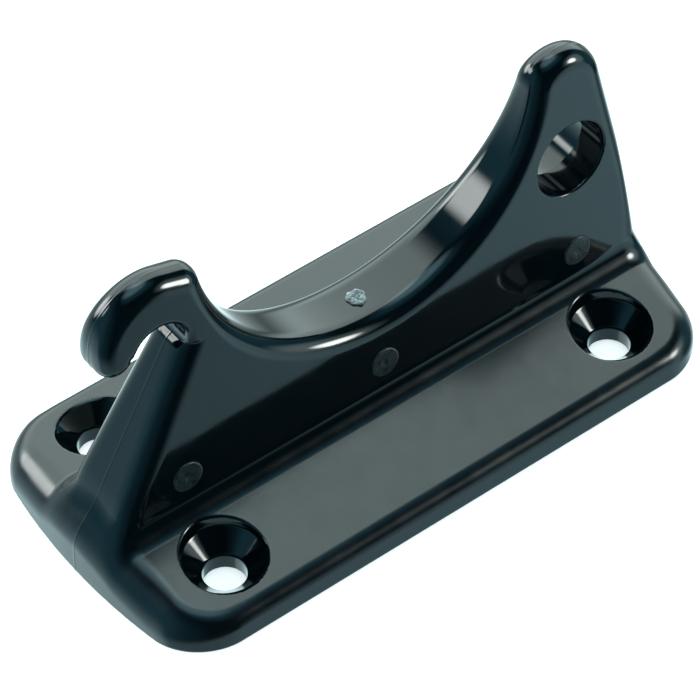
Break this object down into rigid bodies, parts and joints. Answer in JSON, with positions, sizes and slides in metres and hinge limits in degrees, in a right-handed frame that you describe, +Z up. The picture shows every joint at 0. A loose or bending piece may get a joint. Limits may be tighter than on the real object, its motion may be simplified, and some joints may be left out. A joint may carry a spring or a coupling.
{
  "type": "pole chock",
  "caption": "Moulded black plastic deck chock for a pole: sloping base with countersunk screw holes, round cradle, open cord hook at one end and a horn with a cord eye at the other.",
  "frame": {"origin": "middle of the flat underside, where the fitting rests on the deck", "axes": "X along the base, the hook at -X and the eye horn at +X; Y across the base, along the pole's axis in the cradle; +Z up from the deck"},
  "size_m": [0.09, 0.044, 0.0456],
  "materials": {
    "black_plastic": "as-moulded gloss",
    "witness_plastic": "dull where the gate broke off and the ejector pins pressed"
  },
  "bodies": {
    "root": {"base_plate": "black_plastic", "web": "black_plastic", "saddle": "black_plastic", "hook_horn": "black_plastic", "hook_leg": "black_plastic", "eye_horn": "black_plastic", "gate_vestige": "witness_plastic", "ejector_pin_marks": "witness_plastic"}
  },
  "joints": []
}
